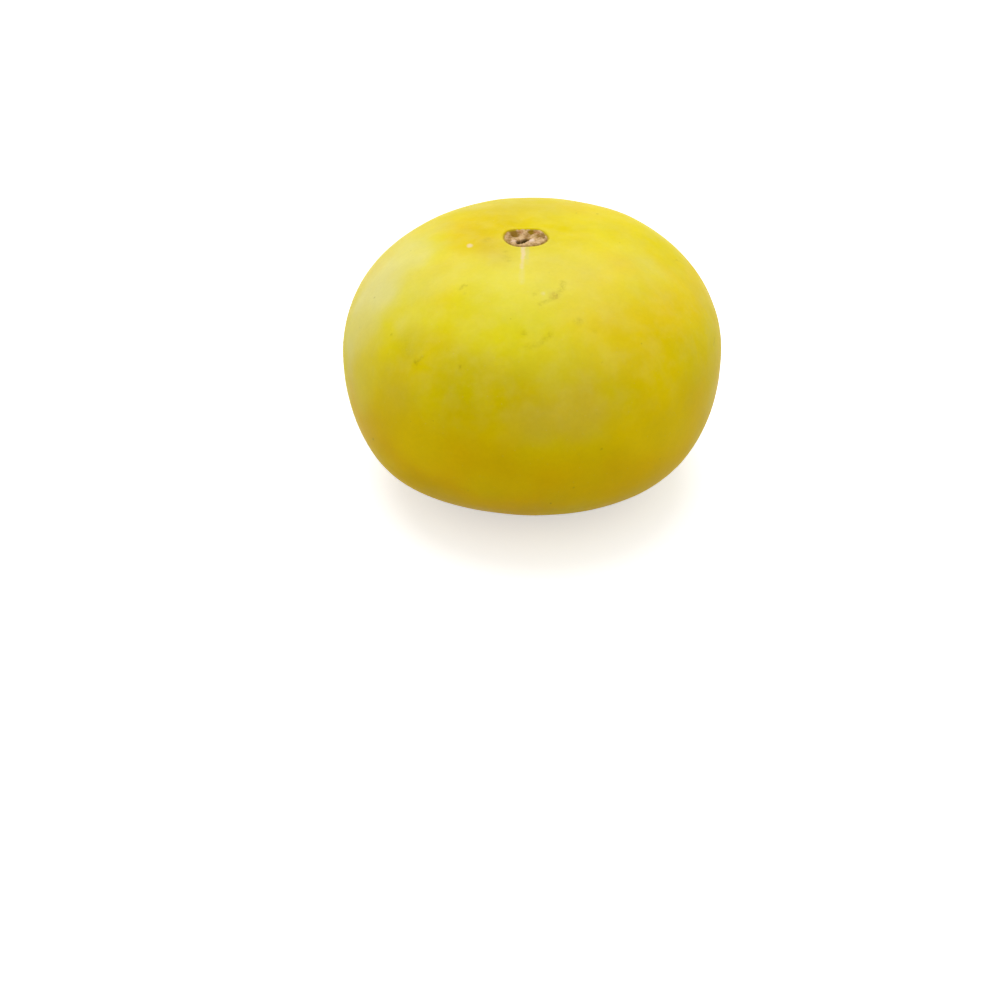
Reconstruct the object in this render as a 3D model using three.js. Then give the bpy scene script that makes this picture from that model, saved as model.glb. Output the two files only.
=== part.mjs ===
// A whole winter melon with a smooth golden rind, as picked: squat, a little squarer below than
// above, with a corky stem scar in a shallow hollow on top and a small flat spot it rests on.
// The fruit grew in one piece, so it is one closed solid.
//
// Units are millimetres and +Z is up. The origin lies on the resting surface, under the middle of
// the fruit, and -Y is the side that a viewer stands on.

import * as THREE from "three";

// Driving dimensions of the body. The girth is the widest level of the fruit.
const GIRTH_RADIUS = 78; // mean radius at the girth
const CROWN_RISE = 55.3; // girth to the crown, before the hollow is pressed in
const BASE_DROP = 53.3; // girth to the underside, before the flat spot is pressed in
const CROWN_SQUARENESS = 2.27; // superellipse exponent above the girth, where 2 is an ellipse
const BASE_SQUARENESS = 2.5; // the same below the girth

// The shallow hollow that the stem grew from.
const HOLLOW_DEPTH = 2.6;
const HOLLOW_RADIUS = 23;

// The flat spot: how much of the underside it takes off, and how softly its edge turns up.
const FLAT_CUT = 1.4;
const FLAT_BLEND = 0.8;

// The rind swells in faint lobes all over, and in stronger ones low down, where the fruit is a
// little four-cornered. Swell is a share of the radius, and turn is the lobes' phase in radians.
const LOBES = [
  { count: 3, swell: 0.003, turn: 2.1 },
  { count: 5, swell: 0.002, turn: 4.4 },
];
const LOW_LOBES = [
  { count: 4, swell: 0.023, turn: -3.07 },
  { count: 3, swell: 0.011, turn: 1.2 },
];
const LOW_REACH = 48; // depth below the girth at which the low lobes are in full
const LEAN_ALONG_X = 1.3; // how far the crown stands to +X of the base

// The corky stem scar: [radius, height above the rind] of each ring, from its edge inwards. The
// rind lifts in a low lip, a groove follows, then a raised ring of cork and a pit at the middle.
const SCAR_RINGS = [
  [12.2, 0.0],
  [9.7, 0.3],
  [8.8, -0.2],
  [8.1, 0.35],
  [6.1, 0.5],
  [4.0, 0.3],
  [2.4, -0.45],
  [1.2, -1.0],
  [0.0, -1.1],
];
const SCAR_SHIFT_X = -4.2; // the scar sits a little off the middle of the crown

// How finely the solid is faceted.
const SEGMENTS = 80;
const BODY_RINGS = 28;
const FLAT_RINGS = [0, 9];

const RIND_COLOUR = 0xd9c32a;
const RIND_ROUGHNESS = 0.42;

/** The larger of two heights, rounded over where they differ by less than the blend. */
function softMax(a, b, blend) {
  const share = THREE.MathUtils.clamp(0.5 + (a - b) / (2 * blend), 0, 1);
  return THREE.MathUtils.lerp(b, a, share) + blend * share * (1 - share);
}

/** Height of the underside, measured up from the girth and so negative, at a radius. */
function baseHeight(radius) {
  const n = BASE_SQUARENESS;
  const curve = -BASE_DROP * (1 - (radius / GIRTH_RADIUS) ** n) ** (1 / n);
  return softMax(curve, FLAT_CUT - BASE_DROP, FLAT_BLEND);
}

/** Height of the crown above the girth at a radius, with the hollow pressed in. */
function crownHeight(radius) {
  const n = CROWN_SQUARENESS;
  const curve = CROWN_RISE * (1 - (radius / GIRTH_RADIUS) ** n) ** (1 / n);
  return curve - HOLLOW_DEPTH * Math.exp(-((radius / HOLLOW_RADIUS) ** 2));
}

/** The turn, up or down from the girth, at which a superellipse of this squareness reaches a radius. */
function turnAt(radius, squareness) {
  return Math.acos((radius / GIRTH_RADIUS) ** (squareness / 2));
}

/** The radius that a superellipse reaches at a turn from the girth. */
function radiusAt(turn, squareness) {
  return GIRTH_RADIUS * Math.abs(Math.cos(turn)) ** (2 / squareness);
}

/** Radius of the truly flat part of the underside. */
function flatRadius() {
  const n = BASE_SQUARENESS;
  const height = 1 - (FLAT_CUT - FLAT_BLEND) / BASE_DROP;
  return GIRTH_RADIUS * (1 - height ** n) ** (1 / n);
}

/** The half outline, as radius and height, from the middle of the flat spot to the scar's pit. */
function halfOutline() {
  const outline = FLAT_RINGS.map((radius) => new THREE.Vector2(radius, baseHeight(radius)));
  const from = -turnAt(flatRadius(), BASE_SQUARENESS);
  const to = turnAt(SCAR_RINGS[0][0], CROWN_SQUARENESS);
  for (let ring = 0; ring < BODY_RINGS; ring += 1) {
    const turn = THREE.MathUtils.lerp(from, to, ring / BODY_RINGS);
    const below = turn < 0;
    const radius = radiusAt(turn, below ? BASE_SQUARENESS : CROWN_SQUARENESS);
    outline.push(new THREE.Vector2(radius, below ? baseHeight(radius) : crownHeight(radius)));
  }
  for (const [radius, lift] of SCAR_RINGS) {
    outline.push(new THREE.Vector2(radius, crownHeight(radius) + lift));
  }
  return outline;
}

/** The sum of the lobes' swell at an angle around the fruit. */
function swellOf(lobes, around) {
  return lobes.reduce((sum, lobe) => {
    return sum + lobe.swell * Math.cos(lobe.count * around + lobe.turn);
  }, 0);
}

/** Moves one point of the round body to its place on the grown one. */
function growPoint(point) {
  const around = Math.atan2(point.y, point.x);
  const outward = (Math.hypot(point.x, point.y) / GIRTH_RADIUS) ** 2;
  const lowness = THREE.MathUtils.smoothstep(-point.z, 0, LOW_REACH);
  const swell = swellOf(LOBES, around) + lowness * swellOf(LOW_LOBES, around);
  const lean = (LEAN_ALONG_X * point.z) / (CROWN_RISE + BASE_DROP);
  const highness = Math.max(point.z / CROWN_RISE, 0);
  const shift = SCAR_SHIFT_X * (1 - outward) ** 2 * highness ** 2;
  point.x = point.x * (1 + swell * outward) + lean + shift;
  point.y *= 1 + swell * outward;
}

/** Turns a round body into a grown one: lobes, a slight lean and a scar off the middle. */
function grow(geometry) {
  const position = geometry.getAttribute("position");
  const point = new THREE.Vector3();
  for (let i = 0; i < position.count; i += 1) {
    growPoint(point.fromBufferAttribute(position, i));
    position.setXYZ(i, point.x, point.y, point.z);
  }
}

/** Moves the body so that it stands on Z = 0 with the origin under the middle of its box. */
function standOnOrigin(geometry) {
  geometry.computeBoundingBox();
  const box = geometry.boundingBox;
  const middle = box.getCenter(new THREE.Vector3());
  geometry.translate(-middle.x, -middle.y, -box.min.z);
}

/** The whole fruit as one mesh. */
function makeMelon() {
  const geometry = new THREE.LatheGeometry(halfOutline(), SEGMENTS);
  geometry.rotateX(Math.PI / 2);
  grow(geometry);
  standOnOrigin(geometry);
  geometry.computeVertexNormals();
  const rind = new THREE.MeshStandardMaterial({
    color: RIND_COLOUR,
    roughness: RIND_ROUGHNESS,
    metalness: 0,
  });
  const melon = new THREE.Mesh(geometry, rind);
  melon.name = "melon";
  return melon;
}

const fruit = new THREE.Group();
fruit.add(makeMelon());

export default fruit;
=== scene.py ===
"""A whole golden winter melon, as picked, on a plain white floor.

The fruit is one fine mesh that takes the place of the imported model's plain solid. Its form repeats
the solid's own, and the relief of the rind, the corky stem scar and the blossom scar is laid on top.
Shapes are worked out in millimetres and fitted to the solid's box, which is in metres.
"""

import logging
import math
from dataclasses import dataclass, field
from enum import Enum

import bpy
import numpy as np
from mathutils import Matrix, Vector, noise


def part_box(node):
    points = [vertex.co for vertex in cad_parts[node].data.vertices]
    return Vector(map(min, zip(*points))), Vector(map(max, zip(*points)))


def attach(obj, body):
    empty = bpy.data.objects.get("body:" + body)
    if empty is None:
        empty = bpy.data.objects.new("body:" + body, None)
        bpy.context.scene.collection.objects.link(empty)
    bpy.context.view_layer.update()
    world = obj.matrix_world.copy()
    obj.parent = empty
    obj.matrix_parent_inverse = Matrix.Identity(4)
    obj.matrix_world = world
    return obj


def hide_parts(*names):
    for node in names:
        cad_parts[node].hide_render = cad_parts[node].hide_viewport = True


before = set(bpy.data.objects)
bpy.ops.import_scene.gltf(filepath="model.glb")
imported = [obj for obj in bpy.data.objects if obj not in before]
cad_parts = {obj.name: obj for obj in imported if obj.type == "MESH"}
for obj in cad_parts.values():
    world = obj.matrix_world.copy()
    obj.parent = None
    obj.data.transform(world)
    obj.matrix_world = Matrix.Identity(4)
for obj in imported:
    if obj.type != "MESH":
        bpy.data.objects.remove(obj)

LOG = logging.getLogger("melon")
MM = 0.001
TAU = 2 * math.pi


def smoothstep(value: np.ndarray, low: float, high: float) -> np.ndarray:
    """Eases from 0 at low to 1 at high.

    Args:
        value: What to ease.
        low: Where the step starts.
        high: Where it ends.

    Returns:
        The eased share, the same shape as value.
    """
    share = np.clip((value - low) / (high - low), 0.0, 1.0)
    return share * share * (3 - 2 * share)


def bell(value: np.ndarray, middle: float, width: float) -> np.ndarray:
    """A round hump of height 1 at the middle, down to 0.37 at one width from it."""
    return np.exp(-(((value - middle) / width) ** 2))


class Noise(Enum):
    """Each use of noise on the mesh: where it starts, so that no two are alike, and its layers."""

    SWELL = (2.7, 2)
    RIPPLE = (8.1, 2)
    TONES = (31.0, 3)
    CORK_COARSE = (7.3, 3)
    CORK_FINE = (3.1, 2)
    CORK_WANDER = (11.0, 3)
    CORK_STRAY = (17.0, 3)
    CORK_FIBRES = (23.0, 2)
    BLOSSOM_GRAIN = (5.9, 3)
    BLOSSOM_EDGE = (1.7, 2)

    def __init__(self, drift: float, layers: int) -> None:
        """Names the parts: how far the noise is moved, and how many ever finer layers are summed."""
        self.drift = drift
        self.layers = layers

    def over(self, points: np.ndarray, size: float) -> np.ndarray:
        """The noise at some points.

        Args:
            points: One point a row.
            size: Size of the largest swells, in the points' unit.

        Returns:
            A number for each point, mostly from -1 to 1.
        """
        moved = (points / size + self.drift).tolist()
        return np.array([noise.fractal(point, 1.0, 2.0, self.layers) for point in moved])


@dataclass(frozen=True)
class Lobe:
    """A faint swelling that repeats around the fruit."""

    count: int
    swell: float
    turn: float

    def at(self, around: np.ndarray) -> np.ndarray:
        """The swell at each angle, as a share of the radius."""
        return self.swell * np.cos(self.count * around + self.turn)


@dataclass(frozen=True)
class Outline:
    """Half of the plain body's outline, from the crown's middle down to the foot's middle, in mm."""

    down: np.ndarray
    radius: np.ndarray
    height: np.ndarray

    @property
    def length(self) -> float:
        """Length along the rind from pole to pole."""
        return float(self.down[-1])

    def radius_at(self, down: np.ndarray) -> np.ndarray:
        """Radius at a way down the rind."""
        return np.interp(down, self.down, self.radius)

    def height_at(self, down: np.ndarray) -> np.ndarray:
        """Height above the girth at a way down the rind."""
        return np.interp(down, self.down, self.height)

    def facing(self, down: np.ndarray, around: np.ndarray, step: float = 0.5) -> np.ndarray:
        """The outward direction at places on the rind.

        Args:
            down: Each place's way along the rind from the crown's middle.
            around: Its angle around the axis, from +X, in radians.
            step: Half the length over which the slope is taken.

        Returns:
            One direction of length 1 a row.
        """
        rise = self.height_at(down - step) - self.height_at(down + step)
        run = self.radius_at(down + step) - self.radius_at(down - step)
        length = np.hypot(rise, run)
        outwards = rise / length
        return np.stack([outwards * np.cos(around), outwards * np.sin(around), run / length], 1)

    def girth_down(self) -> float:
        """Way down the rind at which the body is widest."""
        return float(self.down[np.argmax(self.radius)])

    def flat_radius(self, down: np.ndarray) -> np.ndarray:
        """Radius of the flat disc with the same area as the rind from the crown down to there."""
        steps = np.diff(self.down) * (self.radius[1:] + self.radius[:-1])
        area = np.concatenate([[0.0], np.cumsum(steps)])
        return np.sqrt(np.interp(down, self.down, area))


@dataclass(frozen=True)
class BodyForm:
    """The plain body, as the solid has it: a turned outline that is then grown. Sizes are in mm."""

    girth_radius: float = 78.0
    crown_rise: float = 55.3
    base_drop: float = 53.3
    crown_squareness: float = 2.27
    base_squareness: float = 2.5
    hollow_depth: float = 2.6
    hollow_radius: float = 23.0
    flat_cut: float = 1.4
    flat_blend: float = 0.8
    lobes: tuple[Lobe, ...] = (Lobe(3, 0.003, 2.1), Lobe(5, 0.002, 4.4))
    low_lobes: tuple[Lobe, ...] = (Lobe(4, 0.023, -3.07), Lobe(3, 0.011, 1.2))
    low_reach: float = 48.0
    lean_along_x: float = 1.3
    scar_shift_x: float = -4.2

    def crown_curve(self, turn: np.ndarray) -> tuple[np.ndarray, np.ndarray]:
        """Radius and height of the outline above the girth, hollow and all, at each turn."""
        power = 2 / self.crown_squareness
        radius = self.girth_radius * np.cos(turn).clip(0) ** power
        hollow = self.hollow_depth * np.exp(-((radius / self.hollow_radius) ** 2))
        return radius, self.crown_rise * np.sin(turn).clip(0) ** power - hollow

    def base_curve(self, turn: np.ndarray) -> tuple[np.ndarray, np.ndarray]:
        """Radius and height of the outline below the girth, with the flat spot pressed in."""
        power = 2 / self.base_squareness
        radius = self.girth_radius * np.cos(turn).clip(0) ** power
        curve = -self.base_drop * np.sin(turn).clip(0) ** power
        flat = self.flat_cut - self.base_drop
        share = (0.5 + (curve - flat) / (2 * self.flat_blend)).clip(0, 1)
        eased = self.flat_blend * share * (1 - share)
        return radius, flat + (curve - flat) * share + eased

    def outline(self, samples: int = 6000) -> Outline:
        """The half outline, measured along the rind.

        Args:
            samples: Points on each of the two halves, above and below the girth.

        Returns:
            The outline from the crown's middle to the foot's middle.
        """
        turn = np.linspace(0, math.pi / 2, samples)
        crown = self.crown_curve(turn[::-1])
        base = self.base_curve(turn[1:])
        radius = np.concatenate([crown[0], base[0]])
        height = np.concatenate([crown[1], base[1]])
        steps = np.hypot(np.diff(radius), np.diff(height))
        return Outline(np.concatenate([[0.0], np.cumsum(steps)]), radius, height)

    def grown(self, points: np.ndarray) -> np.ndarray:
        """Turns a round body into a grown one: lobes, a slight lean and a scar off the middle.

        Args:
            points: One point of the round body a row, with its height measured from the girth.

        Returns:
            The moved points.
        """
        x, y, z = points.T
        around = np.arctan2(y, x)
        outward = (np.hypot(x, y) / self.girth_radius) ** 2
        lowness = smoothstep(-z, 0.0, self.low_reach)
        swell = sum(lobe.at(around) for lobe in self.lobes)
        swell = swell + lowness * sum(lobe.at(around) for lobe in self.low_lobes)
        lean = self.lean_along_x * z / (self.crown_rise + self.base_drop)
        highness = (z / self.crown_rise).clip(0)
        shift = self.scar_shift_x * (1 - outward) ** 2 * highness**2
        return np.stack([x * (1 + swell * outward) + lean + shift, y * (1 + swell * outward), z], 1)


@dataclass(frozen=True)
class Site:
    """Where each vertex lies on the rind. Down and radius are in mm, and around is in radians."""

    down: np.ndarray
    around: np.ndarray
    radius: np.ndarray
    height: np.ndarray
    plain: np.ndarray

    @property
    def flat_x(self) -> np.ndarray:
        """Distance to +X of the axis."""
        return self.radius * np.cos(self.around)

    @property
    def flat_y(self) -> np.ndarray:
        """Distance to +Y of the axis."""
        return self.radius * np.sin(self.around)

    @property
    def flat(self) -> np.ndarray:
        """The same two distances as points on a level plane, one a row."""
        return np.stack([self.flat_x, self.flat_y, np.zeros(len(self.down))], 1)

    def part(self, places: np.ndarray) -> "Site":
        """The vertices at these places alone."""
        columns = (self.down, self.around, self.radius, self.height, self.plain)
        return Site(*(column[places] for column in columns))


@dataclass(frozen=True)
class RingPlan:
    """How the rings of the mesh are spaced down the rind, in mm, and how many sides they have.

    The longest side and the pole gap are shares of the spacing. A ring has half the sides of the one
    above it where its sides would be shorter than the longest by the factor halving.
    """

    scar_reach: float = 11.5
    scar_step: float = 0.2
    crown_reach: float = 36.0
    body_step: float = 1.24
    foot_reach: float = 34.0
    blossom_reach: float = 7.0
    blossom_step: float = 0.3
    pole_gap: float = 0.6
    fewest_sides: int = 15
    most_sides: int = 480
    longest_side: float = 1.3
    halving: float = 2.1

    def step_at(self, down: float, length: float) -> float:
        """Spacing of the rings at a way down the rind of this whole length."""
        up = length - down
        crown = np.interp(down, [self.scar_reach, self.crown_reach], [self.scar_step, self.body_step])
        foot = np.interp(up, [self.blossom_reach, self.foot_reach], [self.blossom_step, self.body_step])
        return float(min(crown, foot))

    def rings(self, outline: Outline) -> list[tuple[float, int]]:
        """Places the rings.

        Args:
            outline: The plain body's half outline.

        Returns:
            Each ring's way down the rind and its number of sides, without the two poles.
        """
        length = outline.length
        stations: list[float] = []
        down = self.step_at(0.0, length)
        while down < length - self.blossom_step * self.pole_gap:
            stations.append(down)
            down += self.step_at(down, length)
        made: list[tuple[float, int]] = []
        sides = self.fewest_sides
        for down in stations:
            side = TAU * float(outline.radius_at(down)) / sides
            longest = self.longest_side * self.step_at(down, length)
            narrowing = down > length / 2 and side < longest / self.halving
            if sides < self.most_sides and side > longest:
                sides *= 2
            elif sides > self.fewest_sides and narrowing:
                sides //= 2
            made.append((down, sides))
        return made


class RindMesh:
    """A closed mesh of rings around the stem axis, finer at both scars."""

    def __init__(self, form: BodyForm, plan: RingPlan) -> None:
        """Lays out the vertices and faces.

        Args:
            form: The plain body.
            plan: How the rings are spaced.
        """
        self.form = form
        self.outline = form.outline()
        self.rings = plan.rings(self.outline)
        self.faces: list[tuple[int, ...]] = []
        self.bands: list[int] = []
        self.site = self._place()
        self._join()

    def _place(self) -> Site:
        """Works out where each vertex lies on the plain body."""
        down = [np.zeros(1)]
        around = [np.zeros(1)]
        for ring_down, sides in self.rings:
            down.append(np.full(sides, ring_down))
            around.append(np.arange(sides) * TAU / sides)
        down.append(np.full(1, self.outline.length))
        around.append(np.zeros(1))
        return site_at(self.form, self.outline, np.concatenate(down), np.concatenate(around))

    def _join(self) -> None:
        """Joins each ring to the next, and the end rings to the poles."""
        sides = [1, *(count for _, count in self.rings), 1]
        starts = np.concatenate([[0], np.cumsum(sides)])
        for band in range(len(sides) - 1):
            upper = [int(starts[band]) + i for i in range(sides[band])]
            lower = [int(starts[band + 1]) + i for i in range(sides[band + 1])]
            made = band_faces(upper, lower)
            self.faces += made
            self.bands += [band] * len(made)


def band_faces(upper: list[int], lower: list[int]) -> list[tuple[int, ...]]:
    """Faces between two rings, one of which may be a pole or have twice the other's sides.

    Args:
        upper: Vertices of the ring nearer to the crown.
        lower: Vertices of the ring nearer to the foot.

    Returns:
        The faces, pointing out.
    """
    made: list[tuple[int, ...]] = []
    fewest, most = sorted((len(upper), len(lower)))
    for i in range(fewest if fewest > 1 else most):
        a = upper[i % len(upper)]
        a_next = upper[(i + 1) % len(upper)]
        b = lower[i % len(lower)]
        b_next = lower[(i + 1) % len(lower)]
        if len(upper) == 1:
            made.append((a, b, b_next))
        elif len(lower) == 1:
            made.append((a, b, a_next))
        elif len(upper) == len(lower):
            made.append((a, b, b_next, a_next))
        elif len(upper) < len(lower):
            b, middle, b_next = (lower[(2 * i + k) % len(lower)] for k in range(3))
            made += [(a, b, middle), (a, middle, a_next), (a_next, middle, b_next)]
        else:
            a, middle, a_next = (upper[(2 * i + k) % len(upper)] for k in range(3))
            made += [(a, b, middle), (middle, b, b_next), (middle, b_next, a_next)]
    return made


def site_at(form: BodyForm, outline: Outline, down: np.ndarray, around: np.ndarray) -> Site:
    """The site of each pair of a way down the rind and an angle around it."""
    radius = outline.radius_at(down)
    height = outline.height_at(down)
    turned = np.stack([radius * np.cos(around), radius * np.sin(around), height], 1)
    return Site(down, around, radius, height, form.grown(turned))


class CorkTone(Enum):
    """The colours that a feature of the stem scar may take. The value names its vertex mask."""

    OLIVE = "cork_olive"
    GOLD = "cork_gold"
    RUST = "cork_rust"
    DARK = "cork_dark"
    PALE = "cork_pale"


@dataclass(frozen=True)
class CorkFeature:
    """An oval hollow or knob in the cork, at a place in mm from the axis.

    It is whole out to the core and gone at the fade, both in half sizes.
    """

    tone: CorkTone
    x: float
    y: float
    half_across: float
    half_along: float
    turn: float
    rise: float
    strength: float = 1.0
    core: float = 0.5
    fade: float = 1.25

    def share(self, x: np.ndarray, y: np.ndarray) -> np.ndarray:
        """How much of the feature is at each place, from 0 to 1."""
        turn = math.radians(self.turn)
        across = (x - self.x) * math.cos(turn) + (y - self.y) * math.sin(turn)
        along = (y - self.y) * math.cos(turn) - (x - self.x) * math.sin(turn)
        away = np.hypot(across / self.half_across, along / self.half_along)
        return 1 - smoothstep(away, self.core, self.fade)


@dataclass(frozen=True)
class StemScar:
    """The corky scar that the stem left. Sizes are in mm, and what is "out" is out from its edge."""

    radius: float = 7.8
    reach_out: float = 7.5
    edge_in: float = 0.15
    edge_out: float = 0.25
    lip_rise: float = 0.34
    lip_out: float = 1.25
    lip_width: float = 1.25
    groove_depth: float = 0.5
    groove_out: float = 0.12
    groove_width: float = 0.3
    stain_out: float = 0.1
    stain_width: float = 0.42
    cork_rise: float = 0.42
    dish_depth: float = 0.75
    dish_floor: float = 0.6
    dish_rim: float = 1.4
    coarse_size: float = 2.4
    coarse_relief: float = 0.26
    fine_size: float = 0.75
    fine_relief: float = 0.11
    fibre_count: float = 9.0
    fibre_stretch: float = 0.35
    fibre_start: float = 2.0
    fibre_full: float = 5.0
    fibre_relief: float = 0.1
    wander: float = 0.55
    wander_size: float = 1.8
    bundle_count: int = 10
    bundle_ring: float = 6.3
    bundle_radius: float = 0.5
    bundle_depth: float = 0.32
    bundle_turn_stray: float = 0.28
    bundle_turn_beat: float = 5.1
    bundle_ring_stray: float = 0.7
    bundle_ring_beat: float = 2.3
    middle_y: float = -1.0
    wobble: tuple[Lobe, ...] = (
        Lobe(1, 0.135, 1.66),
        Lobe(2, 0.095, -0.06),
        Lobe(3, 0.014, -1.65),
        Lobe(4, 0.032, 2.35),
        Lobe(7, 0.009, 1.0),
    )
    features: tuple[CorkFeature, ...] = (
        CorkFeature(CorkTone.OLIVE, -4.9, 2.9, 2.0, 3.5, 20, -0.5),
        CorkFeature(CorkTone.GOLD, 2.1, 4.1, 1.8, 1.9, -25, -0.4),
        CorkFeature(CorkTone.RUST, 4.4, 3.5, 1.7, 0.9, -30, -0.2, 0.7),
        CorkFeature(CorkTone.RUST, -2.0, 3.8, 1.2, 1.3, 10, -0.1, 0.55),
        CorkFeature(CorkTone.OLIVE, 6.9, 0.9, 0.9, 2.0, -8, -0.3, 0.7),
        CorkFeature(CorkTone.GOLD, 4.4, 0.6, 2.0, 1.2, 0, -0.1, 0.4),
        CorkFeature(CorkTone.DARK, -2.0, -4.5, 1.55, 1.9, -40, -1.2, 1.0, 0.8),
        CorkFeature(CorkTone.DARK, -0.2, -2.4, 1.4, 1.7, -40, -1.2, 1.0, 0.8),
        CorkFeature(CorkTone.PALE, 2.3, -3.3, 1.1, 1.8, 0, 0.35),
        CorkFeature(CorkTone.PALE, -4.6, -4.4, 1.4, 1.2, 25, 0.15, 0.6),
    )

    def rho(self, site: Site) -> np.ndarray:
        """Distance from the scar's middle, with its uneven edge drawn out to a circle."""
        return site.radius / (1 + sum(lobe.at(site.around) for lobe in self.wobble))

    def cork(self, rho: np.ndarray) -> np.ndarray:
        """Share of cork, from 1 on the scar to 0 on the rind."""
        return 1 - smoothstep(rho, self.radius - self.edge_in, self.radius + self.edge_out)

    def shape(self, site: Site) -> tuple[np.ndarray, dict[str, np.ndarray]]:
        """The scar's relief and the masks that its colours follow.

        Args:
            site: Where the vertices lie.

        Returns:
            The height above the plain rind for each vertex in mm, and the masks by name.
        """
        near = np.flatnonzero(site.radius < self.radius + self.reach_out)
        near = near[site.height[near] > 0]
        part = site.part(near)
        rho = self.rho(part)
        cork = self.cork(rho)
        lip = self.lip_rise * bell(rho, self.radius + self.lip_out, self.lip_width)
        groove = self.groove_depth * bell(rho, self.radius + self.groove_out, self.groove_width)
        dish = self.dish_depth * (1 - smoothstep(rho, self.dish_floor, self.radius - self.dish_rim))
        texture = self._texture(part, rho)
        height = lip * (1 - cork) - groove + cork * (self.cork_rise - dish + texture)
        height -= cork * self._bundles(part)
        stain = bell(rho, self.radius + self.stain_out, self.stain_width)
        # The cork's relief also goes into its colour, as painted shade in the cracks and painted light on
        # the ridges.
        masks = {"cork": cork, "cork_edge": stain, "cork_grain": texture}
        x = part.flat_x + self.wander * Noise.CORK_WANDER.over(part.flat, self.wander_size)
        y = part.flat_y + self.wander * Noise.CORK_STRAY.over(part.flat, self.wander_size)
        for feature in self.features:
            share = feature.share(x, y) * cork
            height += feature.rise * share
            so_far = masks.get(feature.tone.value, np.zeros(len(near)))
            masks[feature.tone.value] = np.maximum(so_far, share * feature.strength)
        count = len(site.down)
        whole_masks = {name: spread(values, near, count) for name, values in masks.items()}
        return spread(height, near, count), whole_masks

    def _texture(self, site: Site, rho: np.ndarray) -> np.ndarray:
        """Lumps, grain and radial fibres of the cork, in mm."""
        coarse = Noise.CORK_COARSE.over(site.flat, self.coarse_size)
        fine = Noise.CORK_FINE.over(site.flat, self.fine_size)
        rays = [np.cos(site.around) * self.fibre_count, np.sin(site.around) * self.fibre_count]
        along = np.stack([*rays, rho * self.fibre_stretch], 1)
        fibres = Noise.CORK_FIBRES.over(along, 1.0)
        fibres *= smoothstep(rho, self.fibre_start, self.fibre_full)
        return self.coarse_relief * coarse + self.fine_relief * fine + self.fibre_relief * fibres

    def _bundles(self, site: Site) -> np.ndarray:
        """Depth of the small pits that the stem's strands left in an uneven ring, in mm."""
        depth = np.zeros(len(site.down))
        for strand in range(self.bundle_count):
            late = self.bundle_turn_stray * math.sin(self.bundle_turn_beat * strand)
            turn = TAU * (strand + late) / self.bundle_count
            ring = self.bundle_ring + self.bundle_ring_stray * math.sin(self.bundle_ring_beat * strand + 1)
            x, y = ring * math.cos(turn), self.middle_y + ring * math.sin(turn)
            away = np.hypot(site.flat_x - x, site.flat_y - y)
            depth += self.bundle_depth * bell(away, 0.0, self.bundle_radius)
        return depth


@dataclass(frozen=True)
class BlossomScar:
    """The small scar where the flower dropped, in the middle of the foot.

    Sizes are in mm. The eye is whole out to its core and gone at its fade, both in eye radii.
    """

    radius: float = 3.6
    reach: float = 10.8
    depth: float = 0.5
    edge: float = 0.9
    ring_depth: float = 0.2
    ring_out: float = 0.2
    ring_width: float = 0.6
    stain_width: float = 0.9
    eye_radius: float = 1.1
    eye_core: float = 0.5
    eye_fade: float = 1.6
    grain_size: float = 1.1
    grain_depth: float = 0.3
    ragged: float = 0.5
    wobble: tuple[Lobe, ...] = (Lobe(2, 0.07, 0.5), Lobe(3, 0.05, 1.0), Lobe(7, 0.02, 2.0))
    crease_count: int = 9
    crease_sway: float = 0.8
    crease_depth: float = 0.16
    crease_out: float = 1.5
    crease_fade: float = 6.0
    crease_reach: float = 11.0

    def shape(self, site: Site, length: float) -> tuple[np.ndarray, dict[str, np.ndarray]]:
        """The scar's relief and its masks.

        Args:
            site: Where the vertices lie.
            length: Length of the rind from pole to pole.

        Returns:
            The height above the plain rind in mm, never above 0, and the masks by name.
        """
        away = length - site.down
        near = np.flatnonzero(away < self.reach)
        flat = site.flat[near]
        grain = spread(Noise.BLOSSOM_GRAIN.over(flat, self.grain_size), near, len(away))
        stray = spread(Noise.BLOSSOM_EDGE.over(flat, 2 * self.grain_size), near, len(away))
        rho = away / (1 + sum(lobe.at(site.around) for lobe in self.wobble)) + self.ragged * stray
        inside = 1 - smoothstep(rho, self.radius - self.edge, self.radius)
        eye = 1 - smoothstep(rho, self.eye_core * self.eye_radius, self.eye_fade * self.eye_radius)
        ring = self.ring_depth * bell(rho, self.radius + self.ring_out, self.ring_width)
        height = -self.depth * inside - ring
        height -= self.grain_depth * inside * (0.5 + 0.5 * grain) + self.grain_depth * eye
        height -= self._creases(site, rho)
        stain = bell(rho, self.radius, self.stain_width)
        return np.minimum(height, 0.0), {"blossom": inside, "blossom_eye": eye, "blossom_ring": stain}

    def _creases(self, site: Site, rho: np.ndarray) -> np.ndarray:
        """Depth of the fine creases that run out from the scar, in mm."""
        around = self.crease_count * site.around + self.crease_sway * np.sin(2 * site.around)
        crease = np.clip(np.cos(around), 0, 1) ** 3
        outside = smoothstep(rho, self.radius, self.radius + self.crease_out)
        near = 1 - smoothstep(rho, self.crease_fade, self.crease_reach)
        return self.crease_depth * crease * (outside * near)


def spread(values: np.ndarray, places: np.ndarray, count: int) -> np.ndarray:
    """Values put at their places in an array of zeros this long."""
    whole = np.zeros(count)
    whole[places] = values
    return whole


@dataclass(frozen=True)
class RindPlace:
    """A place on the rind: bearing in degrees from the front towards +X, and mm down from the scar."""

    bearing: float
    down: float

    @property
    def around(self) -> float:
        """The same bearing as an angle from +X, in radians."""
        return math.radians(self.bearing - 90)


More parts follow.
